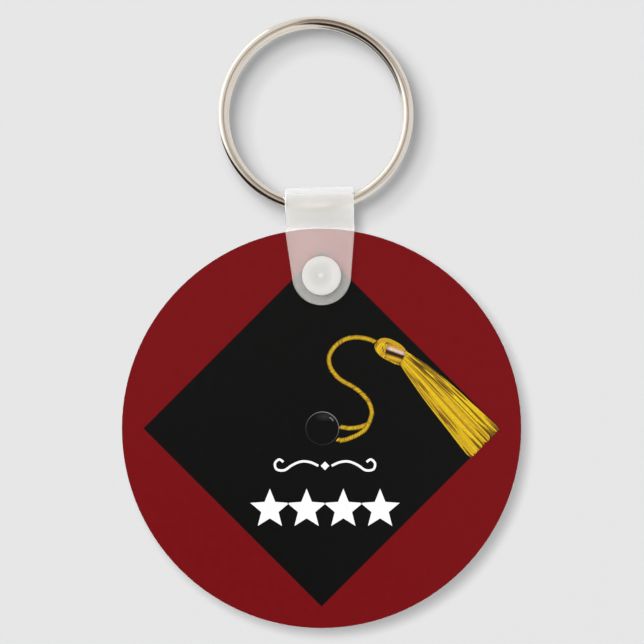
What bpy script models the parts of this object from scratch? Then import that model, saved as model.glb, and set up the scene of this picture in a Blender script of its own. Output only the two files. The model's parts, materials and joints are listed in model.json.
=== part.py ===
"""A printed round key fob that hangs from a split ring by a folded snap strap.

The origin is the point inside the top of the ring where a hook carries it. +Z is up, +X is to the
right of the printed front, and the front faces -Y. All lengths are metres.
"""

import math

import bmesh
import bpy
from mathutils import Matrix, Vector

MM = 0.001

# Split ring: one flat wire wound twice, the front turn a little larger than the rear one.
RING_OUTER_RADIUS = 14.0 * MM
WIRE_WIDTH = 1.44 * MM
WIRE_DEPTH = 1.1 * MM
WIRE_CHAMFER = 0.35 * MM
TURN_GAP = 0.06 * MM
TURN_STEP = 0.10 * MM
CROSSOVER_ANGLE = math.radians(-90)
CROSSOVER_SPAN = math.radians(28)
RING_STATIONS = 116

# How the pieces hang from each other.
RING_SIDE_SHIFT = -0.84 * MM
RING_TO_SNAP = 23.15 * MM
SNAP_TO_DISC_CENTRE = 21.80 * MM
STRAP_LEAN = math.radians(-1.6)

# Disc: a white board with a gloss coat on both faces, and the ink on top.
DISC_RADIUS = 28.575 * MM
BOARD_THICKNESS = 2.10 * MM
COAT_THICKNESS = 0.06 * MM
INK_THICKNESS = 0.03 * MM
FILM_GAP = 0.01 * MM
COAT_INSET = 0.015 * MM
INK_INSET = 0.03 * MM
DISC_HOLE_RADIUS = 1.80 * MM
CIRCLE_POINTS = 120
SMALL_CIRCLE_POINTS = 40

# Strap: one thin moulded strip, folded over the ring wire and closed on the disc.
STRAP_THICKNESS = 0.60 * MM
STRAP_HALF_WIDTH = 4.85 * MM
STRAP_END_RADIUS = 4.20 * MM
STRAP_TAPER_START = 6.20 * MM
LEAF_STANDOFF = 0.08 * MM
FOLD_INNER_RADIUS = 2.35 * MM
FOLD_APEX = 12.76 * MM
FOLD_EXIT_ANGLE = math.radians(-25)
LEAF_STRAIGHT_FROM = 7.10 * MM
FOLD_GAP = 0.10 * MM
FOLD_STATIONS = 12
END_STATIONS = 36
SWING_PIVOT_HEIGHT = 9.99 * MM
CUTTER_DEPTH = 12 * MM

# Snap: a stud on the rear leaf goes through the disc into a cap on the front leaf.
SNAP_HEAD_RADIUS = 2.785 * MM
SNAP_HEAD_HEIGHT = 0.62 * MM
SNAP_HEAD_EDGE = 0.16 * MM
SNAP_SLEEVE_RADIUS = 1.70 * MM
LEAF_HOLE_RADIUS = 1.76 * MM
SOCKET_RADIUS = 1.30 * MM
SOCKET_LIP_RADIUS = 1.15 * MM
SOCKET_LIP_DEPTH = 0.15 * MM
SOCKET_END_WALL = 0.30 * MM
SOCKET_CORNER = 0.20 * MM
STUD_RADIUS = 1.50 * MM
STUD_CHAMFER = 0.20 * MM
STUD_NECK_RADIUS = 0.72 * MM
STUD_KNOB_RADIUS = 1.00 * MM
STUD_KNOB_HALF_HEIGHT = 0.58 * MM
STUD_KNOB_REACH = 0.22 * MM
STUD_KNOB_STEP = math.radians(22)
SEAT_GAP = 0.02 * MM
# The cap's face from its centre pip outwards, as radius and depth below its highest ring.
CAP_RELIEF = [(0.0, 0.02), (0.32, 0.06), (0.50, 0.15), (1.55, 0.13), (1.85, 0.02), (2.10, 0.0)]
TURN_STEPS = 40

# Printed cap: a square board seen from above, its button, its tassel and a row of stars.
CAP_BOARD_HALF_DIAGONAL = 25.44 * MM
BUTTON_CENTRE = (0.11 * MM, 0.01 * MM)
BUTTON_RADIUS = 2.42 * MM
BUTTON_RIM_WIDTH = 0.13 * MM
GLINT_FROM = (0.95 * MM, 1.60 * MM)
GLINT_TO = (1.50 * MM, 1.05 * MM)
GLINT_WIDTH = 0.16 * MM
CORD_WIDTH = 0.76 * MM
CORD_ROUTE = [
    (2.35, -1.57), (3.12, -1.68), (4.92, -1.02), (6.32, 0.0), (7.12, 1.82), (7.12, 2.75),
    (6.62, 3.99), (5.67, 5.05), (4.58, 5.91), (3.12, 6.71), (2.11, 7.50), (1.21, 8.91),
    (1.11, 10.31), (1.91, 11.71), (3.31, 12.71), (4.92, 13.01), (6.52, 12.81), (7.55, 12.42),
]
CORD_END_ROUTE = [(2.72, 0.21), (3.40, 0.10), (4.21, 0.04), (5.20, 0.14), (6.10, 0.42)]
KNOT_OUTLINE = [
    (7.62, 12.00), (7.60, 11.50), (7.95, 10.80), (8.95, 10.02), (9.95, 9.52), (10.95, 9.08),
    (11.15, 9.14), (11.98, 10.92), (11.72, 11.62), (11.00, 12.20), (10.03, 12.70),
    (9.11, 12.93), (8.25, 12.75),
]
BAND_OUTLINE = [
    (9.95, 12.58), (9.60, 11.64), (9.42, 11.10), (9.06, 10.12), (9.95, 9.62), (10.95, 9.20),
    (11.84, 10.90), (11.60, 11.54), (10.95, 12.08),
]
SKIRT_TOP_EDGE = [(12.14, 10.98), (13.57, 10.00), (16.06, 8.28), (19.89, 5.02), (25.40, -0.17)]
SKIRT_LOW_EDGE = [(21.40, -4.22), (18.55, -0.72), (15.10, 3.68), (12.23, 7.70), (11.26, 9.16)]
STAR_COUNT = 4
STAR_RADIUS = 2.95 * MM
STAR_WAIST = 0.44
STAR_PITCH = 5.25 * MM
STAR_ROW_CENTRE = (0.49 * MM, -11.55 * MM)
SCROLL_CENTRE = (0.49 * MM, -5.35 * MM)
SCROLL_ARM = [
    (0.95, 0.0), (2.1, 0.52), (3.4, 0.62), (4.7, 0.10), (5.8, -0.62), (6.9, -0.50),
    (7.15, 0.35), (6.55, 0.92), (5.95, 0.55),
]
SCROLL_WIDTH = 0.34 * MM
SCROLL_DIAMOND = 0.62 * MM
POINTS_PER_SPAN = 4

# Ink levels above the coat, each one film higher than the last.
GROUND, CAP_BOARD, MOTIF, DETAIL = LEVELS = range(4)

COAT_FACE = BOARD_THICKNESS / 2 + FILM_GAP + COAT_THICKNESS
TOP_INK_FACE = COAT_FACE + len(LEVELS) * (FILM_GAP + INK_THICKNESS)
LEAF_INNER_FACE = TOP_INK_FACE + LEAF_STANDOFF
LEAF_OUTER_FACE = LEAF_INNER_FACE + STRAP_THICKNESS

FRONT_RADIUS = RING_OUTER_RADIUS - WIRE_WIDTH / 2
REAR_RADIUS = FRONT_RADIUS - TURN_STEP
RING_INNER_RADIUS = REAR_RADIUS - WIRE_WIDTH / 2
RING_CENTRE = Vector((RING_SIDE_SHIFT, 0, -math.sqrt(RING_INNER_RADIUS**2 - RING_SIDE_SHIFT**2)))
SNAP_CENTRE = Vector((0, 0, RING_CENTRE.z - RING_TO_SNAP))
FACE_FORWARD = (math.pi / 2, 0, 0)

parts = bpy.data.collections.new("round_key_fob")
helpers = bpy.data.collections.new("cutters")


def clear_scene():
    for obj in list(bpy.data.objects):
        bpy.data.objects.remove(obj, do_unlink=True)
    for collection in (parts, helpers):
        bpy.context.scene.collection.children.link(collection)


def make_material(name, colour, roughness, metallic=0.0, transmission=0.0):
    material = bpy.data.materials.new(name)
    material.use_nodes = True
    shader = material.node_tree.nodes["Principled BSDF"]
    shader.inputs["Base Color"].default_value = (*colour, 1.0)
    shader.inputs["Roughness"].default_value = roughness
    shader.inputs["Metallic"].default_value = metallic
    shader.inputs["Transmission Weight"].default_value = transmission
    material.diffuse_color = (*colour, 1.0)
    return material


def add_empty(name, location, parent=None, lean=0.0):
    empty = bpy.data.objects.new(name, None)
    empty.location = location
    empty.rotation_euler = (0, lean, 0)
    empty.parent = parent
    empty.empty_display_size = 2 * MM
    parts.objects.link(empty)
    return empty


def place(obj, parent, location=(0, 0, 0), rotation=(0, 0, 0)):
    obj.parent = parent
    obj.location = location
    obj.rotation_euler = rotation
    return obj


def circle(radius, centre=(0, 0), count=CIRCLE_POINTS):
    turn = [2 * math.pi * i / count for i in range(count)]
    return [(centre[0] + radius * math.cos(a), centre[1] + radius * math.sin(a)) for a in turn]


def in_metres(points):
    return [(x * MM, z * MM) for x, z in points]


def smooth(points, per_span=POINTS_PER_SPAN):
    """Points along a smooth curve through the given ones."""
    ends = [points[0], *points, points[-1]]
    path = []
    for before, start, end, after in zip(ends, ends[1:], ends[2:], ends[3:]):
        a, b, c, d = (Vector(p) for p in (before, start, end, after))
        for step in range(per_span):
            t = step / per_span
            across = b * 2 + (c - a) * t
            bend = (a * 2 - b * 5 + c * 4 - d) * t**2 + (b * 3 - a - c * 3 + d) * t**3
            path.append(tuple((across + bend) / 2))
    return [*path, tuple(points[-1])]


def ribbon(path, width):
    """The closed outline of a strip that follows a path."""
    left, right = [], []
    for i, point in enumerate(path):
        ahead, behind = path[min(i + 1, len(path) - 1)], path[max(i - 1, 0)]
        along = (Vector(ahead) - Vector(behind)).normalized()
        side = Vector((-along.y, along.x)) * width / 2
        left.append(tuple(Vector(point) + side))
        right.append(tuple(Vector(point) - side))
    return left + right[::-1]


def plate(name, outlines, thickness, material):
    """A flat piece cut to closed outlines. Outlines inside the first one are its holes."""
    curve = bpy.data.curves.new(name, "CURVE")
    curve.dimensions = "2D"
    curve.fill_mode = "BOTH"
    curve.extrude = thickness / 2
    for outline in outlines:
        spline = curve.splines.new("POLY")
        spline.points.add(len(outline) - 1)
        for point, (x, y) in zip(spline.points, outline):
            point.co = (x, y, 0, 1)
        spline.use_cyclic_u = True
    curve.materials.append(material)
    obj = bpy.data.objects.new(name, curve)
    parts.objects.link(obj)
    return obj


def to_mesh(obj):
    """The curve as a welded mesh object in the same place."""
    bpy.context.view_layer.update()
    graph = bpy.context.evaluated_depsgraph_get()
    mesh = bpy.data.meshes.new_from_object(obj.evaluated_get(graph))
    welded = bmesh.new()
    welded.from_mesh(mesh)
    bmesh.ops.remove_doubles(welded, verts=welded.verts, dist=MM / 10000)
    bmesh.ops.recalc_face_normals(welded, faces=welded.faces)
    welded.to_mesh(mesh)
    welded.free()
    name, matrix = obj.name, obj.matrix_world.copy()
    bpy.data.objects.remove(obj, do_unlink=True)
    made = bpy.data.objects.new(name, mesh)
    made.matrix_world = matrix
    parts.objects.link(made)
    return made


def hide_as_cutter(obj):
    for collection in list(obj.users_collection):
        collection.objects.unlink(obj)
    helpers.objects.link(obj)
    obj.hide_render = True
    obj.display_type = "WIRE"


def combine(obj, cutter, operation):
    hide_as_cutter(cutter)
    modifier = obj.modifiers.new(cutter.name, "BOOLEAN")
    modifier.operation = operation
    modifier.solver = "EXACT"
    modifier.object = cutter


def turned(name, profile, material):
    """A solid of revolution about local Z. The profile runs from the top down, as radius and height."""
    mesh = bpy.data.meshes.new(name)
    points = [(radius, 0, height) for radius, height in profile]
    mesh.from_pydata(points, [(i, i + 1) for i in range(len(points) - 1)], [])
    mesh.materials.append(material)
    obj = bpy.data.objects.new(name, mesh)
    parts.objects.link(obj)
    screw = obj.modifiers.new("turn", "SCREW")
    screw.axis = "Z"
    screw.steps = screw.render_steps = TURN_STEPS
    screw.use_merge_vertices = True
    screw.merge_threshold = MM / 1000
    return obj


def add_split_ring(material):
    """The wire's path lies in the object's XY plane, and its turns are stacked along Z."""
    shape = bpy.data.curves.new("wire_section", "CURVE")
    shape.dimensions = "2D"
    wide, deep = WIRE_WIDTH / 2, WIRE_DEPTH / 2
    corner = WIRE_CHAMFER
    quarter = [(wide, deep - corner), (wide - corner, deep)]
    section = quarter + [(-x, y) for x, y in quarter[::-1]]
    section += [(-x, -y) for x, y in section]
    spline = shape.splines.new("POLY")
    spline.points.add(len(section) - 1)
    for point, (x, y) in zip(spline.points, section):
        point.co = (x, y, 0, 1)
    spline.use_cyclic_u = True
    shape_object = bpy.data.objects.new("wire_section", shape)
    parts.objects.link(shape_object)
    hide_as_cutter(shape_object)

    curve = bpy.data.curves.new("split_ring", "CURVE")
    curve.dimensions = "3D"
    curve.twist_mode = "Z_UP"
    curve.bevel_mode = "OBJECT"
    curve.bevel_object = shape_object
    curve.use_fill_caps = True
    curve.materials.append(material)
    wire = curve.splines.new("POLY")
    wire.points.add(RING_STATIONS)
    half_length = 2 * math.pi - CROSSOVER_SPAN / 2
    for i, point in enumerate(wire.points):
        turned_by = half_length * (2 * i / RING_STATIONS - 1)
        share = min(max(turned_by / CROSSOVER_SPAN + 0.5, 0), 1)
        front = share * share * (3 - 2 * share)
        radius = REAR_RADIUS + (FRONT_RADIUS - REAR_RADIUS) * front
        depth = (front - 0.5) * (WIRE_DEPTH + TURN_GAP)
        angle = CROSSOVER_ANGLE + turned_by
        point.co = (radius * math.cos(angle), radius * math.sin(angle), depth, 1)
    obj = bpy.data.objects.new("split_ring", curve)
    parts.objects.link(obj)
    return to_mesh(place(obj, None, RING_CENTRE, FACE_FORWARD))


def leaf_side_path():
    """The middle of one leaf seen from the side: from the fold's apex down to past its end."""
    radius = FOLD_INNER_RADIUS + STRAP_THICKNESS / 2
    centre = FOLD_APEX - STRAP_THICKNESS / 2 - radius
    first = math.pi / 2 - math.asin(FOLD_GAP / 2 / radius)
    path = []
    for i in range(FOLD_STATIONS + 1):
        angle = first + (FOLD_EXIT_ANGLE - first) * i / FOLD_STATIONS
        path.append((radius * math.cos(angle), centre + radius * math.sin(angle)))
    middle = (LEAF_INNER_FACE + LEAF_OUTER_FACE) / 2
    knee = Vector((middle, LEAF_STRAIGHT_FROM))
    before = knee.lerp(Vector(path[-1]), 0.5)
    after = Vector((middle, LEAF_STRAIGHT_FROM - (before - knee).length))
    for t in (0.0, 0.25, 0.5, 0.75, 1.0):
        path.append(tuple(before.lerp(knee, t).lerp(knee.lerp(after, t), t)))
    path.append((middle, -STRAP_END_RADIUS - STRAP_THICKNESS))
    return path


def leaf_front_outline():
    """The strap seen from the front: straight sides, a taper and a round end about the snap."""
    top = FOLD_APEX + STRAP_THICKNESS
    corner = Vector((STRAP_HALF_WIDTH, STRAP_TAPER_START))
    meets = math.atan2(corner.y, corner.x) - math.acos(STRAP_END_RADIUS / corner.length)
    end = []
    for i in range(END_STATIONS + 1):
        angle = meets - (math.pi + 2 * meets) * i / END_STATIONS
        end.append((STRAP_END_RADIUS * math.cos(angle), STRAP_END_RADIUS * math.sin(angle)))
    side = [(STRAP_HALF_WIDTH, top), tuple(corner)]
    return side + end + [(-x, y) for x, y in side[::-1]]


def add_strap_leaf(name, parent, origin, facing, material):
    """One half of the strap. facing is -1 for the front leaf and +1 for the rear one."""
    side = [(facing * depth, height) for depth, height in ribbon(leaf_side_path(), STRAP_THICKNESS)]
    if facing > 0:
        side = side[::-1]
    strip = plate(name, [side], 2 * STRAP_HALF_WIDTH + STRAP_THICKNESS, material)
    strip.rotation_euler = (math.pi / 2, 0, math.pi / 2)
    leaf = to_mesh(strip)
    leaf.data.transform(Matrix.Translation(-origin) @ leaf.matrix_world)
    cuts = {
        "outline": (leaf_front_outline(), "INTERSECT"),
        "hole": (circle(LEAF_HOLE_RADIUS, count=TURN_STEPS), "DIFFERENCE"),
    }
    for suffix, (outline, operation) in cuts.items():
        cutter = to_mesh(plate(f"{name}_{suffix}", [outline], CUTTER_DEPTH, material))
        place(cutter, parent, -origin, FACE_FORWARD)
        combine(leaf, cutter, operation)
    return place(leaf, parent)


def add_snap_stud(parent, material):
    """Local +Z points to the front. Heights count from the middle of the disc."""
    rear = -LEAF_OUTER_FACE - SEAT_GAP
    head = rear - SNAP_HEAD_HEIGHT
    shoulder = COAT_FACE
    knob = LEAF_INNER_FACE + STUD_KNOB_REACH
    dome = [(0, knob + STUD_KNOB_HALF_HEIGHT)]
    for i in range(1, 7):
        angle = math.pi / 2 - STUD_KNOB_STEP * i
        across = STUD_KNOB_RADIUS * math.cos(angle)
        dome.append((across, knob + STUD_KNOB_HALF_HEIGHT * math.sin(angle)))
    profile = dome + [
        (STUD_NECK_RADIUS, shoulder),
        (STUD_RADIUS - STUD_CHAMFER, shoulder),
        (STUD_RADIUS, shoulder - STUD_CHAMFER),
        (STUD_RADIUS, -LEAF_INNER_FACE),
        (SNAP_SLEEVE_RADIUS, -LEAF_INNER_FACE),
        (SNAP_SLEEVE_RADIUS, rear),
        (SNAP_HEAD_RADIUS, rear),
        (SNAP_HEAD_RADIUS, head + SNAP_HEAD_EDGE),
        (SNAP_HEAD_RADIUS - SNAP_HEAD_EDGE, head),
        (0, head),
    ]
    return place(turned("snap_stud", profile, material), parent, (0, 0, 0), FACE_FORWARD)


def add_snap_cap(parent, origin, material):
    """Local +Z points to the front, where the cap's shallow dish and centre pip are."""
    seat = LEAF_OUTER_FACE + SEAT_GAP
    face = seat + SNAP_HEAD_HEIGHT
    floor = face - SOCKET_END_WALL
    profile = [(radius * MM, face - sink * MM) for radius, sink in CAP_RELIEF] + [
        (SNAP_HEAD_RADIUS - SNAP_HEAD_EDGE, face),
        (SNAP_HEAD_RADIUS, face - SNAP_HEAD_EDGE),
        (SNAP_HEAD_RADIUS, seat),
        (SNAP_SLEEVE_RADIUS, seat),
        (SNAP_SLEEVE_RADIUS, LEAF_INNER_FACE),
        (SOCKET_LIP_RADIUS, LEAF_INNER_FACE),
        (SOCKET_RADIUS, LEAF_INNER_FACE + SOCKET_LIP_DEPTH),
        (SOCKET_RADIUS, floor - SOCKET_CORNER),
        (SOCKET_RADIUS - SOCKET_CORNER, floor),
        (0, floor),
    ]
    return place(turned("snap_cap", profile, material), parent, -origin, FACE_FORWARD)


def disc_hole():
    return circle(DISC_HOLE_RADIUS, (0, SNAP_TO_DISC_CENTRE), SMALL_CIRCLE_POINTS)


def ink(name, outlines, level, side, disc, material):
    """A film of ink. side is -1 on the front face and +1 on the rear one."""
    depth = COAT_FACE + (level + 1) * (FILM_GAP + INK_THICKNESS) - INK_THICKNESS / 2
    film = plate(name, outlines, INK_THICKNESS, material)
    return place(film, disc, (0, side * depth, -SNAP_TO_DISC_CENTRE), FACE_FORWARD)


def star(centre):
    points = []
    for i in range(10):
        radius = STAR_RADIUS * (1 if i % 2 == 0 else STAR_WAIST)
        angle = math.pi / 2 + i * math.pi / 5
        points.append((centre[0] + radius * math.cos(angle), centre[1] + radius * math.sin(angle)))
    return points


def diamond(half_diagonal, centre=(0, 0)):
    x, z = centre
    return [(x + half_diagonal, z), (x, z + half_diagonal), (x - half_diagonal, z), (x, z - half_diagonal)]


def add_disc(disc, white):
    """The board and its two coats, all pierced for the stud."""
    middle = (0, 0, -SNAP_TO_DISC_CENTRE)
    board = plate("disc_board", [circle(DISC_RADIUS), disc_hole()], BOARD_THICKNESS, white)
    place(board, disc, middle, FACE_FORWARD)
    depth = COAT_FACE - COAT_THICKNESS / 2
    for name, side in (("front_gloss_coat", -1), ("rear_gloss_coat", 1)):
        outlines = [circle(DISC_RADIUS - COAT_INSET), disc_hole()]
        coat = plate(name, outlines, COAT_THICKNESS, white)
        place(coat, disc, (0, side * depth, -SNAP_TO_DISC_CENTRE), FACE_FORWARD)


def add_ground_and_cap(prefix, side, disc, red, black, grey):
    """The plain part of the print, which both faces carry."""
    ground = [circle(DISC_RADIUS - INK_INSET), disc_hole()]
    ink(prefix + "_ground_ink", ground, GROUND, side, disc, red)
    board = [diamond(CAP_BOARD_HALF_DIAGONAL), disc_hole()]
    ink(prefix + "_cap_board_ink", board, CAP_BOARD, side, disc, black)
    button = circle(BUTTON_RADIUS - BUTTON_RIM_WIDTH, BUTTON_CENTRE, SMALL_CIRCLE_POINTS)
    rim_outer = circle(BUTTON_RADIUS, BUTTON_CENTRE, SMALL_CIRCLE_POINTS)
    rim_inner = circle(BUTTON_RADIUS - BUTTON_RIM_WIDTH + FILM_GAP, BUTTON_CENTRE, SMALL_CIRCLE_POINTS)
    ink(prefix + "_button_ink", [button], MOTIF, side, disc, black)
    ink(prefix + "_button_rim_ink", [rim_outer, rim_inner], MOTIF, side, disc, grey)


def add_front_motif(disc, gold, brown, grey, white):
    """Tassel, button glint, scroll and stars, on the front only."""
    cord = ribbon(smooth(in_metres(CORD_ROUTE)), CORD_WIDTH)
    cord_end = ribbon(smooth(in_metres(CORD_END_ROUTE)), CORD_WIDTH)
    skirt = smooth(in_metres(SKIRT_TOP_EDGE)) + smooth(in_metres(SKIRT_LOW_EDGE))
    knot = in_metres(KNOT_OUTLINE)
    band = in_metres(BAND_OUTLINE)
    ink("tassel_cord_end_ink", [cord_end], MOTIF, -1, disc, gold)
    ink("tassel_cord_ink", [cord], DETAIL, -1, disc, gold)
    ink("tassel_knot_ink", [knot], MOTIF, -1, disc, gold)
    ink("tassel_band_ink", [band], DETAIL, -1, disc, brown)
    ink("tassel_skirt_ink", [skirt], MOTIF, -1, disc, gold)
    glint = ribbon([GLINT_FROM, GLINT_TO], GLINT_WIDTH)
    ink("button_glint_ink", [glint], DETAIL, -1, disc, grey)
    for i in range(STAR_COUNT):
        x = STAR_ROW_CENTRE[0] + (i - (STAR_COUNT - 1) / 2) * STAR_PITCH
        ink(f"star_{i + 1}_ink", [star((x, STAR_ROW_CENTRE[1]))], MOTIF, -1, disc, white)
    arm = smooth(in_metres(SCROLL_ARM))
    for name, way in (("scroll_left_ink", -1), ("scroll_right_ink", 1)):
        path = [(SCROLL_CENTRE[0] + way * x, SCROLL_CENTRE[1] + z) for x, z in arm]
        ink(name, [ribbon(path, SCROLL_WIDTH)], MOTIF, -1, disc, white)
    ink("scroll_diamond_ink", [diamond(SCROLL_DIAMOND, SCROLL_CENTRE)], MOTIF, -1, disc, white)


def main():
    clear_scene()
    nickel = make_material("nickel", (0.76, 0.72, 0.66), 0.12, metallic=1.0)
    milky = make_material("milky_plastic", (0.82, 0.82, 0.80), 0.30, transmission=0.5)
    opaque = make_material("white_plastic", (0.78, 0.77, 0.74), 0.35)
    gloss = make_material("white_board", (0.86, 0.86, 0.86), 0.25)
    red = make_material("red_ink", (0.20, 0.010, 0.014), 0.25)
    black = make_material("black_ink", (0.010, 0.010, 0.010), 0.25)
    gold = make_material("gold_ink", (0.68, 0.42, 0.02), 0.30)
    brown = make_material("brown_ink", (0.17, 0.09, 0.02), 0.30)
    grey = make_material("grey_ink", (0.16, 0.16, 0.16), 0.30)
    white = make_material("white_ink", (0.92, 0.92, 0.92), 0.30)

    add_split_ring(nickel)
    lean = Matrix.Rotation(STRAP_LEAN, 3, "Y")
    pivot = Vector((0, 0, SWING_PIVOT_HEIGHT))
    swing = add_empty("strap_swing_axis", SNAP_CENTRE + lean @ pivot, lean=STRAP_LEAN)
    strap = add_empty("strap_frame", -pivot, swing)
    add_strap_leaf("strap_rear_leaf", strap, Vector((0, 0, 0)), 1, milky)
    add_snap_stud(strap, opaque)
    apex = Vector((0, 0, FOLD_APEX))
    fold = add_empty("fold_axis", apex, strap)
    add_strap_leaf("strap_front_leaf", fold, apex, -1, milky)
    add_snap_cap(fold, apex, opaque)
    disc = add_empty("snap_axis", (0, 0, 0), strap, lean=-STRAP_LEAN)
    add_disc(disc, gloss)
    add_ground_and_cap("front", -1, disc, red, black, grey)
    add_ground_and_cap("rear", 1, disc, red, black, grey)
    add_front_motif(disc, gold, brown, grey, white)


main()
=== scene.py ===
"""Looks of the printed round key fob: split ring, folded snap strap and printed disc.

Everything is in metres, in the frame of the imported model: +Z up, the printed front faces -Y.
"""

import json
import math
import random

import bmesh
import bpy
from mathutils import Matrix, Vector, noise


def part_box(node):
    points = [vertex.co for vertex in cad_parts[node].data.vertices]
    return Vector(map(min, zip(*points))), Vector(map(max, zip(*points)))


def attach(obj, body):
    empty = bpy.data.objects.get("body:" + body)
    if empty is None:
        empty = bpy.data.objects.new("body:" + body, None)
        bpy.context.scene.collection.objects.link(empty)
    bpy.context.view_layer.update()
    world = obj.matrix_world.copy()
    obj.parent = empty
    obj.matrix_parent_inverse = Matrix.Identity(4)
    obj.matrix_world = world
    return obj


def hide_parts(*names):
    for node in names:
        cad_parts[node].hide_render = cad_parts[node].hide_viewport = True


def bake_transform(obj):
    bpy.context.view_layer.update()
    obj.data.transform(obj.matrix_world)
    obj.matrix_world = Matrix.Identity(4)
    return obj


MM = 0.001

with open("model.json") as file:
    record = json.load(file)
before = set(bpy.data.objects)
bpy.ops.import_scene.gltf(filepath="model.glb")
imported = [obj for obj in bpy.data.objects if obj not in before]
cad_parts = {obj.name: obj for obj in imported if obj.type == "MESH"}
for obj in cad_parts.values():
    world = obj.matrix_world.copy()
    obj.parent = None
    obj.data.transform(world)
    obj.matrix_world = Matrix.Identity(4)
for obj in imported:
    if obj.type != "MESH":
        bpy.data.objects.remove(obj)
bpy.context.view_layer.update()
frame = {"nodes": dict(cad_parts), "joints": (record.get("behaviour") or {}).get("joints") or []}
joints = {joint["name"]: joint for joint in frame["joints"]}


def middle_of(node):
    low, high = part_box(node)
    return (low + high) / 2


def front_of(node):
    """How far the node's front face stands forward of the middle plane."""
    return -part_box(node)[0].y


# Split ring: one wire wound twice, the front turn a little larger than the rear one.
RING_CENTRE = middle_of("split_ring")
RING_OUTER_RADIUS = 14.0 * MM
WIRE_WIDTH = 1.44 * MM
WIRE_DEPTH = 1.1 * MM
WIRE_ROUNDNESS = 2.3
TURN_GAP = 0.06 * MM
TURN_STEP = 0.10 * MM
CROSSOVER_ANGLE = math.radians(-90)
CROSSOVER_SPAN = math.radians(28)
RING_STATIONS = 900
WIRE_SIDES = 36
WIRE_END_SHARES = (0.80, 0.93, 0.985)

# Strap: one thin moulded strip, folded over the ring wire and closed on the disc.
STRAP_THICKNESS = 0.60 * MM
STRAP_EDGE_RADIUS = 0.20 * MM
STRAP_HALF_WIDTH = 4.85 * MM
STRAP_END_RADIUS = 4.20 * MM
STRAP_TAPER_START = 6.20 * MM
FOLD_INNER_RADIUS = 2.35 * MM
FOLD_APEX = 12.76 * MM
FOLD_EXIT_ANGLE = math.radians(-25)
LEAF_STRAIGHT_FROM = 7.10 * MM
LEAF_INNER_FACE = 1.36 * MM
LEAF_MIDDLE = LEAF_INNER_FACE + STRAP_THICKNESS / 2
LEAF_OUTER_FACE = LEAF_INNER_FACE + STRAP_THICKNESS
LEAF_HOLE_RADIUS = 1.76 * MM
STRAP_FLARE = 0.10 * MM
STRAP_RIPPLE = 0.02 * MM
BEND_STEP = 0.22 * MM

# The strap is clear where it lies inside the disc's edge and near its middle plane. The strap's side
# walls stay milky: the rim share is 0 on its flat faces and 1 on those walls.
CLEAR_INSIDE = 0.14 * MM
MILKY_OUTSIDE = 0.50 * MM
CLEAR_LIFT = 2.2 * MM
MILKY_LIFT = 3.4 * MM
CLEAR_RIM = 0.25
MILKY_RIM = 0.85

# Snap, with heights from the disc's middle plane.
SNAP_CENTRE = Vector(joints["disc_swivel"]["pos_m"])
STRAP_ACROSS = Vector(joints["strap_swing"]["axis"]).normalized()
STRAP_UP = STRAP_ACROSS.cross(Vector((0, 1, 0))).normalized()
SNAP_HEAD_RADIUS = 2.785 * MM
SNAP_HEAD_HEIGHT = 0.62 * MM
SNAP_SLEEVE_RADIUS = 1.70 * MM
SNAP_SEAT = LEAF_OUTER_FACE + 0.02 * MM
SNAP_FACE = SNAP_SEAT + SNAP_HEAD_HEIGHT
SOCKET_RADIUS = 1.30 * MM
SOCKET_MOUTH_RADIUS = 1.15 * MM
SOCKET_TOP = SNAP_FACE - 0.30 * MM
POST_RADIUS = 1.50 * MM
POST_SHOULDER = 1.12 * MM
POST_CHAMFER = 0.20 * MM
NECK_RADIUS = 0.72 * MM
KNOB_RADIUS = 1.00 * MM
KNOB_RISE = 0.58 * MM
KNOB_MIDDLE = LEAF_INNER_FACE + 0.22 * MM

# Disc.
DISC_CENTRE = middle_of("disc_board")
DISC_RADIUS = 28.575 * MM
BOARD_THICKNESS = 2.10 * MM
DISC_HOLE_RADIUS = 1.80 * MM
BOARD_EDGE_RADIUS = 0.05 * MM


def srgb(red, green, blue):
    """Linear colour of 8-bit screen values."""
    values = []
    for value in (red, green, blue):
        share = value / 255
        values.append(share / 12.92 if share <= 0.04045 else ((share + 0.055) / 1.055) ** 2.4)
    return tuple(values)


# ---------------------------------------------------------------- materials


def new_material(name):
    material = bpy.data.materials.new(name)
    material.use_nodes = True
    nodes = material.node_tree.nodes
    return material, nodes, material.node_tree.links, nodes["Principled BSDF"]


def add_noise(nodes, links, scale, detail=3.0, stretch=None, source="Object"):
    """The value of a noise texture in the object's own metres, or in its UV map."""
    where = nodes.new("ShaderNodeTexCoord").outputs[source]
    texture = nodes.new("ShaderNodeTexNoise")
    texture.inputs["Scale"].default_value = scale
    texture.inputs["Detail"].default_value = detail
    if stretch:
        mapping = nodes.new("ShaderNodeMapping")
        mapping.inputs["Scale"].default_value = stretch
        links.new(where, mapping.inputs["Vector"])
        where = mapping.outputs["Vector"]
    links.new(where, texture.inputs["Vector"])
    return texture.outputs["Fac"]


def ramp_between(nodes, links, value, low, high, start=0.3, end=0.7):
    """A colour that goes from low to high while the value goes from start to end."""
    ramp = nodes.new("ShaderNodeValToRGB")
    for element, position, colour in zip(ramp.color_ramp.elements, (start, end), (low, high)):
        element.position = position
        element.color = (*colour, 1)
    links.new(value, ramp.inputs["Fac"])
    return ramp.outputs["Color"]


def range_of(nodes, links, value, low, high, start=0.0, end=1.0, kind="LINEAR"):
    """A value that goes from low to high while the given one goes from start to end."""
    scale = nodes.new("ShaderNodeMapRange")
    scale.interpolation_type = kind
    scale.inputs["From Min"].default_value = start
    scale.inputs["From Max"].default_value = end
    scale.inputs["To Min"].default_value = low
    scale.inputs["To Max"].default_value = high
    links.new(value, scale.inputs["Value"])
    return scale.outputs["Result"]


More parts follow.
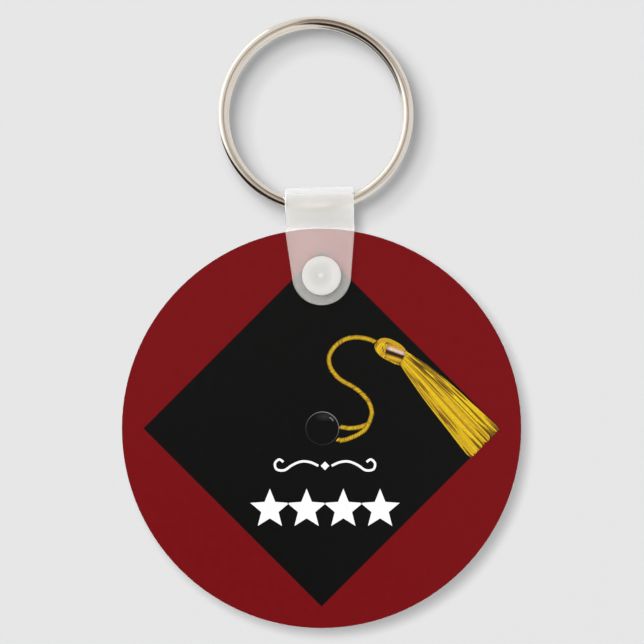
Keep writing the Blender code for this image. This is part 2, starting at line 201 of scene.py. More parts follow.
def distance_from(nodes, links, centre, squeeze, holder=None):
    """How far a point is from centre, with each axis scaled by squeeze, in the frame of holder."""
    where = nodes.new("ShaderNodeTexCoord")
    where.object = holder
    vector = where.outputs["Object"]
    for operation, by in (("SUBTRACT", centre), ("MULTIPLY", squeeze)):
        step = nodes.new("ShaderNodeVectorMath")
        step.operation = operation
        step.inputs[1].default_value = by
        links.new(vector, step.inputs[0])
        vector = step.outputs["Vector"]
    length = nodes.new("ShaderNodeVectorMath")
    length.operation = "LENGTH"
    links.new(vector, length.inputs[0])
    return length.outputs["Value"]


def multiplied(nodes, links, first, second):
    product = nodes.new("ShaderNodeMix")
    product.data_type = "RGBA"
    product.blend_type = "MULTIPLY"
    product.inputs["Factor"].default_value = 1.0
    links.new(first, product.inputs["A"])
    links.new(second, product.inputs["B"])
    return product.outputs["Result"]


def dress(nodes, links, shader, colour, gloss, low, high, specular=0.5):
    """Gives the shader its colour, a roughness from low to high that follows gloss, and its shine."""
    links.new(colour, shader.inputs["Base Color"])
    links.new(range_of(nodes, links, gloss, low, high), shader.inputs["Roughness"])
    shader.inputs["Specular IOR Level"].default_value = specular


def add_bump(nodes, links, shader, value, distance, strength):
    bump = nodes.new("ShaderNodeBump")
    bump.inputs["Strength"].default_value = strength
    bump.inputs["Distance"].default_value = distance
    links.new(value, bump.inputs["Height"])
    links.new(bump.outputs["Normal"], shader.inputs["Normal"])


def ink_material(name, colour, spread):
    """Gloss print: an even colour with the faint mottle and fine grain of a printed film."""
    material, nodes, links, shader = new_material(name)
    mottle = add_noise(nodes, links, 900, 2)
    grain = add_noise(nodes, links, 5200, 2)
    low = tuple(c * (1 - spread) for c in colour)
    high = tuple(min(1, c * (1 + spread)) for c in colour)
    dress(nodes, links, shader, ramp_between(nodes, links, mottle, low, high), grain, 0.29, 0.39, 0.12)
    add_bump(nodes, links, shader, grain, 0.004 * MM, 0.25)
    return material


def tinted_material(name, spread):
    """Ink whose colour is stored on the mesh, one tone for each printed thread."""
    material, nodes, links, shader = new_material(name)
    tint = nodes.new("ShaderNodeAttribute")
    tint.attribute_name = "Tint"
    speckle = add_noise(nodes, links, 4200, 3)
    grey = ramp_between(nodes, links, speckle, (1 - spread,) * 3, (1 + spread,) * 3, 0.35, 0.65)
    colour = multiplied(nodes, links, tint.outputs["Color"], grey)
    dress(nodes, links, shader, colour, speckle, 0.30, 0.42, 0.16)
    return material


def nickel_material():
    """Bright nickel plate on drawn wire: fine lines run along the wire."""
    material, nodes, links, shader = new_material("nickel_plate")
    shader.inputs["Metallic"].default_value = 1.0
    lines = add_noise(nodes, links, 1.0, 4, stretch=(0.05, 26.0, 1.0), source="UV")
    haze = add_noise(nodes, links, 700, 3)
    colour = ramp_between(nodes, links, haze, (0.77, 0.705, 0.615), (0.81, 0.75, 0.665))
    dress(nodes, links, shader, colour, lines, 0.07, 0.17)
    add_bump(nodes, links, shader, lines, 0.004 * MM, 0.5)
    return material


def dress_strap(nodes, links, shader, low, high):
    """The strap plastic's cloudy colour, soft gloss and fine bumps."""
    cloud = add_noise(nodes, links, 260, 3)
    dress(nodes, links, shader, ramp_between(nodes, links, cloud, low, high), cloud, 0.36, 0.46, 0.35)
    add_bump(nodes, links, shader, add_noise(nodes, links, 1800, 2), 0.006 * MM, 0.3)


def milky_share(nodes, links):
    """One where the strap is milky and nothing where it is clear: the largest of three eased shares."""
    holder = frame["nodes"]["disc_board"]
    out = distance_from(nodes, links, DISC_CENTRE, (1 / MM, 0, 1 / MM), holder)
    lift = distance_from(nodes, links, DISC_CENTRE, (0, 1 / MM, 0), holder)
    rim = nodes.new("ShaderNodeAttribute")
    rim.attribute_name = "Rim"
    milky = None
    for value, clear_at, milky_at in (
        (out, (DISC_RADIUS - CLEAR_INSIDE) / MM, (DISC_RADIUS + MILKY_OUTSIDE) / MM),
        (lift, CLEAR_LIFT / MM, MILKY_LIFT / MM),
        (rim.outputs["Fac"], CLEAR_RIM, MILKY_RIM),
    ):
        share = range_of(nodes, links, value, 0.0, 1.0, clear_at, milky_at, "SMOOTHSTEP")
        if milky is None:
            milky = share
            continue
        larger = nodes.new("ShaderNodeMath")
        larger.operation = "MAXIMUM"
        links.new(milky, larger.inputs[0])
        links.new(share, larger.inputs[1])
        milky = larger.outputs["Value"]
    return milky


def milky_material():
    """Milky moulded plastic. It blurs what lies well behind it, and is clear where it lies on the disc."""
    material, nodes, links, shader = new_material("milky_plastic")
    dress_strap(nodes, links, shader, (0.93, 0.925, 0.90), (0.97, 0.965, 0.95))
    shader.inputs["IOR"].default_value = 1.45
    shader.inputs["Transmission Weight"].default_value = 0.70

    clear = nodes.new("ShaderNodeBsdfTransparent")
    clear.inputs["Color"].default_value = (0.92, 0.92, 0.92, 1)
    veil = nodes.new("ShaderNodeBsdfPrincipled")
    dress_strap(nodes, links, veil, (0.196, 0.192, 0.184), (0.214, 0.211, 0.203))
    thin = nodes.new("ShaderNodeAddShader")
    links.new(clear.outputs["BSDF"], thin.inputs[0])
    links.new(veil.outputs["BSDF"], thin.inputs[1])
    mixed = nodes.new("ShaderNodeMixShader")
    links.new(milky_share(nodes, links), mixed.inputs["Fac"])
    links.new(thin.outputs["Shader"], mixed.inputs[1])
    links.new(shader.outputs["BSDF"], mixed.inputs[2])
    links.new(mixed.outputs["Shader"], nodes["Material Output"].inputs["Surface"])
    return material


# Painted shade and highlights of the snap: its lightness by the share of its radius, lighter on the centre
# pip and raised rim, darker in the dish.
SNAP_PAINTED_SHADING = [
    (0.0, 1.03), (0.11, 1.02), (0.20, 0.935), (0.50, 0.945), (0.66, 0.985), (0.82, 0.985), (1.0, 0.95),
]


def snap_material():
    """Thicker plastic of the snap: near white and waxy, with painted shade in its dish and painted
    highlights on its centre pip and raised rim.
    """
    material, nodes, links, shader = new_material("snap_plastic")
    cloud = add_noise(nodes, links, 500, 3)
    plastic = ramp_between(nodes, links, cloud, (0.735, 0.72, 0.695), (0.765, 0.75, 0.725))
    out = distance_from(nodes, links, SNAP_CENTRE, (1 / SNAP_HEAD_RADIUS, 0, 1 / SNAP_HEAD_RADIUS))
    # Painted shade and highlights of the snap's relief, set by radius.
    painted_relief_shade = nodes.new("ShaderNodeValToRGB")
    elements = painted_relief_shade.color_ramp.elements
    elements[0].position, elements[1].position = SNAP_PAINTED_SHADING[0][0], SNAP_PAINTED_SHADING[-1][0]
    for position, _ in SNAP_PAINTED_SHADING[1:-1]:
        elements.new(position)
    for element, (_, tone) in zip(elements, SNAP_PAINTED_SHADING):
        element.color = (tone, tone * 0.996, tone * 0.99, 1)
    links.new(out, painted_relief_shade.inputs["Fac"])
    colour = multiplied(nodes, links, plastic, painted_relief_shade.outputs["Color"])
    dress(nodes, links, shader, colour, cloud, 0.34, 0.44, 0.4)
    shader.inputs["Subsurface Weight"].default_value = 0.25
    shader.inputs["Subsurface Radius"].default_value = (0.9, 0.85, 0.8)
    shader.inputs["Subsurface Scale"].default_value = 0.8 * MM
    add_bump(nodes, links, shader, add_noise(nodes, links, 2400, 2), 0.005 * MM, 0.3)
    return material


def board_material(name, low, high, roughness=0.42):
    """White board: a very fine fibre texture, drawn out sideways along the cut edge."""
    material, nodes, links, shader = new_material(name)
    fibre = add_noise(nodes, links, 1500, 4, stretch=(0.35, 3.0, 0.35))
    colour = ramp_between(nodes, links, fibre, low, high)
    dress(nodes, links, shader, colour, fibre, roughness - 0.06, roughness + 0.08, 0.3)
    add_bump(nodes, links, shader, fibre, 0.01 * MM, 0.3)
    return material


def button_material():
    """Black ink with a faint light band under the top of the printed button."""
    material, nodes, links, shader = new_material("button_ink")
    centre = middle_of("front_button_ink") + Vector((0.35 * MM, 0, 1.70 * MM))
    out = distance_from(nodes, links, centre, (0.66 / MM, 0, 1.35 / MM))
    glow = ramp_between(nodes, links, out, (0.026, 0.026, 0.027), (0.0026,) * 3, 0.0, 1.0)
    dress(nodes, links, shader, glow, add_noise(nodes, links, 5200, 2), 0.28, 0.38, 0.16)
    return material


# ---------------------------------------------------------------- mesh helpers


def add_object(name, data):
    obj = bpy.data.objects.new(name, data)
    bpy.context.scene.collection.objects.link(obj)
    return obj


def finish_mesh(name, mesh, material, sharp_angle=math.radians(40)):
    mesh.materials.clear()
    mesh.materials.append(material)
    for polygon in mesh.polygons:
        polygon.use_smooth = True
    mesh.set_sharp_from_angle(angle=sharp_angle)
    return add_object(name, mesh)


def close_bulk(bulk, mesh):
    """Turns all faces outwards and writes the edited mesh back."""
    bmesh.ops.recalc_face_normals(bulk, faces=bulk.faces)
    bulk.to_mesh(mesh)
    bulk.free()


def add_mesh(name, points, faces, material, tints=(), sharp_angle=math.radians(40)):
    mesh = bpy.data.meshes.new(name)
    mesh.from_pydata([tuple(p) for p in points], [], faces)
    if tints:
        layer = mesh.attributes.new("Tint", "FLOAT_COLOR", "POINT")
        for value, tint in zip(layer.data, tints):
            value.color = (*tint, 1)
    bulk = bmesh.new()
    bulk.from_mesh(mesh)
    close_bulk(bulk, mesh)
    return finish_mesh(name, mesh, material, sharp_angle)


def circle(radius, height, steps):
    """Points of a circle whose centre is height above the origin of its plane."""
    turns = [2 * math.pi * i / steps for i in range(steps)]
    return [(radius * math.cos(turn), height + radius * math.sin(turn)) for turn in turns]


def cut_sheet(name, outlines, thickness, edge_radius, edge_steps):
    """A flat sheet with rounded edges, open for editing. Outlines after the first are holes."""
    curve = bpy.data.curves.new(name, "CURVE")
    curve.dimensions = "2D"
    curve.fill_mode = "BOTH"
    curve.extrude = thickness / 2 - edge_radius
    curve.bevel_depth = edge_radius
    curve.bevel_resolution = edge_steps
    curve.offset = -edge_radius
    for outline in outlines:
        spline = curve.splines.new("POLY")
        spline.points.add(len(outline) - 1)
        for point, (x, y) in zip(spline.points, outline):
            point.co = (x, y, 0, 1)
        spline.use_cyclic_u = True
    flat = add_object(name, curve)
    bpy.context.view_layer.update()
    mesh = bpy.data.meshes.new_from_object(flat.evaluated_get(bpy.context.evaluated_depsgraph_get()))
    bpy.data.objects.remove(flat)
    bulk = bmesh.new()
    bulk.from_mesh(mesh)
    bmesh.ops.remove_doubles(bulk, verts=bulk.verts, dist=MM / 5000)
    return mesh, bulk


def spread(start, end, steps):
    """Even steps from start to end, with both of them."""
    return [start + (end - start) * i / steps for i in range(steps + 1)]


def running_lengths(path):
    """How far along the path each of its points is."""
    lengths = [0.0]
    for here, there in zip(path, path[1:]):
        lengths.append(lengths[-1] + (there - here).length)
    return lengths


def course(path, i):
    """The direction of a flat path at its point i, and the direction to its left."""
    along = (path[min(i + 1, len(path) - 1)] - path[max(i - 1, 0)]).normalized()
    return along, Vector((-along.y, along.x))


def show(obj, body, slot_name, *nodes):
    """The piece rides on its body and stands for its CAD nodes. Its slot_name is not used."""
    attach(obj, body)
    if nodes:
        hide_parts(*nodes)
    return obj


# ---------------------------------------------------------------- split ring


def wire_section():
    """Round-cornered section of the wire as (outwards, forwards)."""
    points = []
    for c, s in circle(1, 0, WIRE_SIDES):
        out = math.copysign(abs(c) ** (2 / WIRE_ROUNDNESS), c) * WIRE_WIDTH / 2
        forward = math.copysign(abs(s) ** (2 / WIRE_ROUNDNESS), s) * WIRE_DEPTH / 2
        points.append((out, forward))
    return points


def add_ring(material):
    front_radius = RING_OUTER_RADIUS - WIRE_WIDTH / 2
    rear_radius = front_radius - TURN_STEP
    half_length = 2 * math.pi - CROSSOVER_SPAN / 2
    section = wire_section()
    points, faces, along = [], [], []
    for i in range(RING_STATIONS + 1):
        turned = half_length * (2 * i / RING_STATIONS - 1)
        share = min(max(turned / CROSSOVER_SPAN + 0.5, 0), 1)
        front = share * share * (3 - 2 * share)
        radius = rear_radius + (front_radius - rear_radius) * front
        depth = (front - 0.5) * (WIRE_DEPTH + TURN_GAP)
        angle = CROSSOVER_ANGLE + turned
        outward = Vector((math.cos(angle), 0, math.sin(angle)))
        ends = min(i, RING_STATIONS - i)
        shrink = WIRE_END_SHARES[ends] if ends < len(WIRE_END_SHARES) else 1.0
        for out, forward in section:
            point = RING_CENTRE + outward * (radius + out * shrink)
            point.y -= depth + forward * shrink
            points.append(point)
        along.append(radius * turned / MM)
    for i in range(RING_STATIONS):
        for k in range(WIRE_SIDES):
            a, b = i * WIRE_SIDES + k, i * WIRE_SIDES + (k + 1) % WIRE_SIDES
            faces.append((a, b, b + WIRE_SIDES, a + WIRE_SIDES))
    faces.append(tuple(range(WIRE_SIDES)))
    faces.append(tuple(range(RING_STATIONS * WIRE_SIDES, (RING_STATIONS + 1) * WIRE_SIDES)))
    obj = add_mesh("split_ring_wire", points, faces, material)
    layer = obj.data.uv_layers.new(name="UVMap")
    for loop in obj.data.loops:
        station, side = divmod(loop.vertex_index, WIRE_SIDES)
        layer.data[loop.index].uv = (along[station], abs(side - WIRE_SIDES / 2) / WIRE_SIDES)
    return show(obj, "ring", "nickel_plated_wire", "split_ring")


# ---------------------------------------------------------------- strap


def side_path():
    """The middle of one leaf seen from the side, from the fold's apex down, finely divided."""
    radius = FOLD_INNER_RADIUS + STRAP_THICKNESS / 2
    centre = FOLD_APEX - STRAP_THICKNESS / 2 - radius
    path = []
    for angle in spread(math.pi / 2, FOLD_EXIT_ANGLE, 48):
        path.append(Vector((radius * math.cos(angle), centre + radius * math.sin(angle))))
    knee = Vector((LEAF_MIDDLE, LEAF_STRAIGHT_FROM))
    before = knee.lerp(path[-1], 0.5)
    after = Vector((LEAF_MIDDLE, LEAF_STRAIGHT_FROM - (before - knee).length))
    for t in spread(0, 1, 12):
        path.append(before.lerp(knee, t).lerp(knee.lerp(after, t), t))
    path.append(Vector((LEAF_MIDDLE, -3 * STRAP_END_RADIUS)))
    return path


SIDE_PATH = side_path()
PATH_LENGTHS = running_lengths(SIDE_PATH)
SNAP_ALONG = PATH_LENGTHS[-1] - 3 * STRAP_END_RADIUS


def path_direction(k):
    """Which way the side path runs at its point k. It starts level, at the fold's apex."""
    return course(SIDE_PATH, k)[0] if k else Vector((1, 0))


def bent(across, along, off):
    """A point of the flat strip, folded. along counts from the apex, positive to the front."""
    side = -1 if along >= 0 else 1
    run = abs(along)
    for i in range(1, len(PATH_LENGTHS)):
        if run <= PATH_LENGTHS[i]:
            break
    share = (run - PATH_LENGTHS[i - 1]) / (PATH_LENGTHS[i] - PATH_LENGTHS[i - 1])
    direction = path_direction(i - 1).lerp(path_direction(i), share).normalized()
    place = SIDE_PATH[i - 1].lerp(SIDE_PATH[i], share) + Vector((-direction.y, direction.x)) * off
    return SNAP_CENTRE + STRAP_ACROSS * across + STRAP_UP * place.y + Vector((0, side * place.x, 0))


def half_outline():
    """Right-hand half of the strap's front, from the apex line down round the end, as (x, along)."""
    corner = Vector((STRAP_HALF_WIDTH, STRAP_TAPER_START))
    meets = math.atan2(corner.y, corner.x) - math.acos(STRAP_END_RADIUS / corner.length)
    points = [(STRAP_HALF_WIDTH, SNAP_ALONG - STRAP_TAPER_START)]
    for angle in spread(meets, -math.pi - meets, 44):
        below = STRAP_END_RADIUS * math.sin(angle)
        points.append((STRAP_END_RADIUS * math.cos(angle), SNAP_ALONG - below))
    points.append((-STRAP_HALF_WIDTH - STRAP_FLARE, SNAP_ALONG - STRAP_TAPER_START))
    return points


def add_strap(material):
    front = half_outline()
    rear = [(-x, -y) for x, y in front]
    holes = [circle(LEAF_HOLE_RADIUS, height, 64) for height in (SNAP_ALONG, -SNAP_ALONG)]
    mesh, bulk = cut_sheet("strap_flat", [front + rear, *holes], STRAP_THICKNESS, STRAP_EDGE_RADIUS, 4)
    cuts = int((PATH_LENGTHS[-2] + BEND_STEP) / BEND_STEP)
    for i in range(-cuts, cuts + 1):
        bmesh.ops.bisect_plane(
            bulk,
            geom=bulk.verts[:] + bulk.edges[:] + bulk.faces[:],
            dist=MM / 10000,
            plane_co=(0, i * BEND_STEP, 0),
            plane_no=(0, 1, 0),
        )
    rim = bulk.verts.layers.float.new("Rim")
    for vertex in bulk.verts:
        across, along, off = vertex.co
        ripple = noise.noise(Vector((across, along, 0)) * 260) * STRAP_RIPPLE
        vertex.co = bent(across, along, off + ripple)
        vertex[rim] = min((STRAP_THICKNESS / 2 - abs(off)) / STRAP_EDGE_RADIUS, 1.0)
    close_bulk(bulk, mesh)
    obj = finish_mesh("strap_folded_strip", mesh, material)
    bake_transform(obj)
    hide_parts("strap_rear_leaf", "strap_front_leaf")


# ---------------------------------------------------------------- snap


def rounded(profile, radius, steps=5):
    """The profile with each corner replaced by a small curve."""
    points = [Vector(profile[0])]
    for before, corner, after in zip(profile, profile[1:], profile[2:]):
        before, corner, after = Vector(before), Vector(corner), Vector(after)
        reach = min(radius, (before - corner).length * 0.45, (after - corner).length * 0.45)
        start = corner + (before - corner).normalized() * reach
        end = corner + (after - corner).normalized() * reach
        for t in spread(0, 1, steps):
            points.append(start.lerp(corner, t).lerp(corner.lerp(end, t), t))
    points.append(Vector(profile[-1]))
    return points


def lathe(name, profile, material, segments=112):
    """A piece turned about the snap's axis. Profile is (radius, height towards the front)."""
    points, faces, rings = [], [], []
    for radius, height in profile:
        ring = []
        for k in range(segments if radius > 0 else 1):
            angle = 2 * math.pi * k / segments
            outward = STRAP_ACROSS * math.cos(angle) + STRAP_UP * math.sin(angle)
            ring.append(len(points))
            points.append(SNAP_CENTRE + outward * radius - Vector((0, height, 0)))
        rings.append(ring)
    for upper, lower in zip(rings, rings[1:]):
        for k in range(segments):
            n = (k + 1) % segments
            if len(upper) == 1:
                faces.append((upper[0], lower[k], lower[n]))
            elif len(lower) == 1:
                faces.append((upper[k], lower[0], upper[n]))
            else:
                faces.append((upper[k], lower[k], lower[n], upper[n]))
    return add_mesh(name, points, faces, material)


# The cap's dish with its centre pip, as (radius, depth under the face) in millimetres.
DISH = [
    (0.0, 0.02), (0.12, 0.025), (0.24, 0.05), (0.34, 0.10), (0.46, 0.165), (0.60, 0.19),
    (1.10, 0.18), (1.40, 0.155), (1.60, 0.11), (1.76, 0.055), (1.92, 0.015), (2.10, 0.0),
    (2.40, 0.0), (2.58, 0.02),
]


def add_snap(material):
    front = [(r * MM, SNAP_FACE - sink * MM) for r, sink in DISH]
    socket = [
        front[-1],
        (SNAP_HEAD_RADIUS, SNAP_FACE - 0.06 * MM),
        (SNAP_HEAD_RADIUS, SNAP_SEAT),
        (SNAP_SLEEVE_RADIUS, SNAP_SEAT),
        (SNAP_SLEEVE_RADIUS, LEAF_INNER_FACE),
        (SOCKET_MOUTH_RADIUS, LEAF_INNER_FACE),
        (SOCKET_RADIUS, LEAF_INNER_FACE + 0.15 * MM),
        (SOCKET_RADIUS, SOCKET_TOP - 0.20 * MM),
        (SOCKET_RADIUS - 0.20 * MM, SOCKET_TOP),
        (0, SOCKET_TOP),
    ]
    cap = lathe("snap_cap_moulding", front + rounded(socket, 0.12 * MM)[1:], material)
    show(cap, "front_leaf", "snap_plastic", "snap_cap")

    dome = [(0, KNOB_MIDDLE + KNOB_RISE)]
    for angle in spread(math.pi / 2, -math.radians(42), 18)[1:]:
        dome.append((KNOB_RADIUS * math.cos(angle), KNOB_MIDDLE + KNOB_RISE * math.sin(angle)))
    post = [
        dome[-1],
        (NECK_RADIUS, POST_SHOULDER),
        (POST_RADIUS - POST_CHAMFER, POST_SHOULDER),
        (POST_RADIUS, POST_SHOULDER - POST_CHAMFER),
        (POST_RADIUS, -LEAF_INNER_FACE),
        (SNAP_SLEEVE_RADIUS, -LEAF_INNER_FACE),
        (SNAP_SLEEVE_RADIUS, -SNAP_SEAT),
        (SNAP_HEAD_RADIUS, -SNAP_SEAT),
        (SNAP_HEAD_RADIUS, -SNAP_FACE + 0.05 * MM),
        (2.62 * MM, -SNAP_FACE),
        (0.62 * MM, -SNAP_FACE),
        (0.42 * MM, -SNAP_FACE + 0.09 * MM),
        (0, -SNAP_FACE + 0.10 * MM),
    ]
    stud = lathe("snap_stud_moulding", dome + rounded(post, 0.10 * MM)[1:], material)
    show(stud, "strap", "snap_plastic", "snap_stud")


# ---------------------------------------------------------------- disc


def add_board(material):
    hole_height = SNAP_CENTRE.z - DISC_CENTRE.z
    outlines = [circle(DISC_RADIUS, 0, 320), circle(DISC_HOLE_RADIUS, hole_height, 72)]
    mesh, bulk = cut_sheet("board_outline", outlines, BOARD_THICKNESS, BOARD_EDGE_RADIUS, 5)
    for vertex in bulk.verts:
        x, z, y = vertex.co
        vertex.co = DISC_CENTRE + Vector((x, -y, z))
    close_bulk(bulk, mesh)
    show(finish_mesh("disc_board_cut", mesh, material), "disc", "white_board", "disc_board")


def smooth(points, per_span):
    """Points along a smooth curve through the given ones."""
    ends = [points[0], *points, points[-1]]
    path = []
    for before, start, end, after in zip(ends, ends[1:], ends[2:], ends[3:]):
        a, b, c, d = (Vector(p) for p in (before, start, end, after))
        for step in range(per_span):
            t = step / per_span
            across = b * 2 + (c - a) * t
            bend = (a * 2 - b * 5 + c * 4 - d) * t**2 + (b * 3 - a - c * 3 + d) * t**3
            path.append((across + bend) / 2)
    return [*path, Vector(points[-1])]


def resampled(path, step):
    """The path's points at an even spacing."""
    lengths = running_lengths(path)
    count = max(2, round(lengths[-1] / step))
    found, i = [], 0
    for k in range(count + 1):
        run = lengths[-1] * k / count
        while i < len(lengths) - 2 and lengths[i + 1] < run:
            i += 1
        share = (run - lengths[i]) / max(lengths[i + 1] - lengths[i], 1e-9)
        found.append(path[i].lerp(path[i + 1], min(max(share, 0), 1)))
    return found


class Print:
    """Collects flat printed threads in disc-centre millimetres, each a thin lens-shaped strip."""

    def __init__(self):
        self.points, self.faces, self.tints = [], [], []

    def vertex(self, point, forward, tint):
        place = DISC_CENTRE + Vector((point[0] * MM, 0, point[1] * MM))
        place.y = -forward
        self.points.append(place)
        self.tints.append(tint)
        return len(self.points) - 1

    def strip(self, path, width, forward, tint, edge_tint=None, crown=0.006 * MM, end_width=0.35):
        """A closed strip along a path. width is one number or a function of the share along."""
        edge_tint = edge_tint or tint
        rows = []
        last = len(path) - 1
        for i, point in enumerate(path):
            side = course(path, i)[1]
            wide = width(i / last) if callable(width) else width
            if i in (0, last):
                wide *= end_width
            here = tint(i / last) if callable(tint) else tint
            rim = edge_tint(i / last) if callable(edge_tint) else edge_tint
            rows.append(
                (
                    self.vertex(point + side * wide / 2, forward, rim),
                    self.vertex(point, forward + crown, here),
                    self.vertex(point - side * wide / 2, forward, rim),
                    self.vertex(point, forward - crown / 3, here),
                )
            )
        for a, b in zip(rows, rows[1:]):
            for k in range(4):
                n = (k + 1) % 4
                self.faces.append((a[k], a[n], b[n], b[k]))
        self.faces.append(rows[0][::-1])
        self.faces.append(rows[-1])

    def lens(self, centre, direction, length, width, forward, tint, edge_tint, crown=0.008 * MM, sides=12):
        """A small raised oval, pointing along direction."""
        side = Vector((-direction.y, direction.x))
        rim = []
        for c, s in circle(1, 0, sides):
            point = centre + direction * (c * length / 2) + side * (s * width / 2)
            rim.append(self.vertex(point, forward, edge_tint))
        top = self.vertex(centre, forward + crown, tint)
        for k in range(sides):
            self.faces.append((rim[k], rim[(k + 1) % sides], top))
        self.faces.append(tuple(rim[::-1]))

    def area(self, outline, forward, tint):
        """A flat closed film, as thin as the ground of the threads."""
        count = len(outline)
        top = [self.vertex(point, forward, tint) for point in outline]
        under = [self.vertex(point, forward - GROUND, tint) for point in outline]
        self.faces.append(tuple(top))
        self.faces.append(tuple(under[::-1]))
        for k in range(count):
            n = (k + 1) % count
            self.faces.append((top[k], under[k], under[n], top[n]))

    def make(self, name, material, *nodes, slot_name="gold_ink"):
        obj = add_mesh(name, self.points, self.faces, material, self.tints, math.radians(60))
        return show(obj, "disc", slot_name, *nodes)


def mix(a, b, share):
    share = min(max(share, 0), 1)
    return tuple(x + (y - x) * share for x, y in zip(a, b))


# Tassel colours.
SUN = srgb(244, 206, 20)
GOLD = srgb(224, 178, 26)
DEEP_GOLD = srgb(178, 132, 30)
OLIVE = srgb(128, 96, 18)
BARK = srgb(74, 48, 14)
PINK = srgb(222, 190, 172)

CORD_WIDTH = 0.76
CORD_ROUTE = [
    (2.35, -1.57), (3.12, -1.68), (4.92, -1.02), (6.32, 0.0), (7.12, 1.82), (7.12, 2.75),
    (6.62, 3.99), (5.67, 5.05), (4.58, 5.91), (3.12, 6.71), (2.11, 7.50), (1.21, 8.91),
    (1.11, 10.31), (1.91, 11.71), (3.31, 12.71), (4.92, 13.01), (6.52, 12.81), (7.55, 12.42),
]
CORD_END_ROUTE = [(2.72, 0.21), (3.40, 0.10), (4.21, 0.04), (5.20, 0.14), (6.10, 0.42), (6.55, 0.62)]
KNOT_OUTLINE = [
    (7.62, 12.00), (7.60, 11.50), (7.95, 10.80), (8.95, 10.02), (9.95, 9.52), (10.95, 9.08),
    (11.15, 9.14), (11.98, 10.92), (11.72, 11.62), (11.00, 12.20), (10.03, 12.70),
    (9.11, 12.93), (8.25, 12.75),
]
SKIRT_TOP_EDGE = [(12.14, 10.98), (13.57, 10.00), (16.06, 8.28), (19.89, 5.02), (25.40, -0.17)]
SKIRT_LOW_EDGE = [(11.26, 9.16), (12.23, 7.70), (15.10, 3.68), (18.55, -0.72), (21.40, -4.22)]

MOTIF_LEVEL = front_of("tassel_skirt_ink")
DETAIL_LEVEL = front_of("tassel_cord_ink")
# Printed threads lie in small steps over a dark ground, from the back of their CAD film.
FILM = 0.03 * MM
GROUND = 0.004 * MM


def bowed(start, end, bow, steps):
    """A line from start to end whose middle stands out by bow."""
    return [start.lerp(end, t) + bow * math.sin(math.pi * t) for t in spread(0, 1, steps)]


def cut_evenly(edge, count):
    """A smooth curve through the edge's points, cut into count equal lengths."""
    curve = resampled(smooth(edge, 12), 0.4)
    return resampled(curve, running_lengths(curve)[-1] / count)


def add_cord(ink, name, route, level, node, seed):
    """A laid cord: a dark core with one slanted, rounded yarn after another on it."""
    draw = random.Random(seed)
    made = Print()
    base = level - FILM
    path = resampled(smooth(route, 10), 0.12)
    made.strip(path, CORD_WIDTH * 0.84, base + GROUND, BARK, end_width=0.9)
    yarns = resampled(path, 0.27)
    for i, point in enumerate(yarns):
        along, side = course(yarns, i)
        slant = (side + along * (0.55 + draw.uniform(-0.12, 0.12))).normalized()
        tone = mix(GOLD, SUN, draw.random() ** 1.5)
        if draw.random() < 0.16:
            tone = mix(GOLD, DEEP_GOLD, draw.uniform(0.4, 1))
        rim = mix(tone, OLIVE, 0.75)
        centre = point + side * draw.uniform(-0.02, 0.02)
        made.lens(
            centre, slant, CORD_WIDTH * draw.uniform(0.93, 1.03), 0.275 * draw.uniform(0.86, 1.06),
            base + 0.012 * MM + (i % 3) * 0.001 * MM, tone, rim,
        )
    return made.make(name, ink, node)


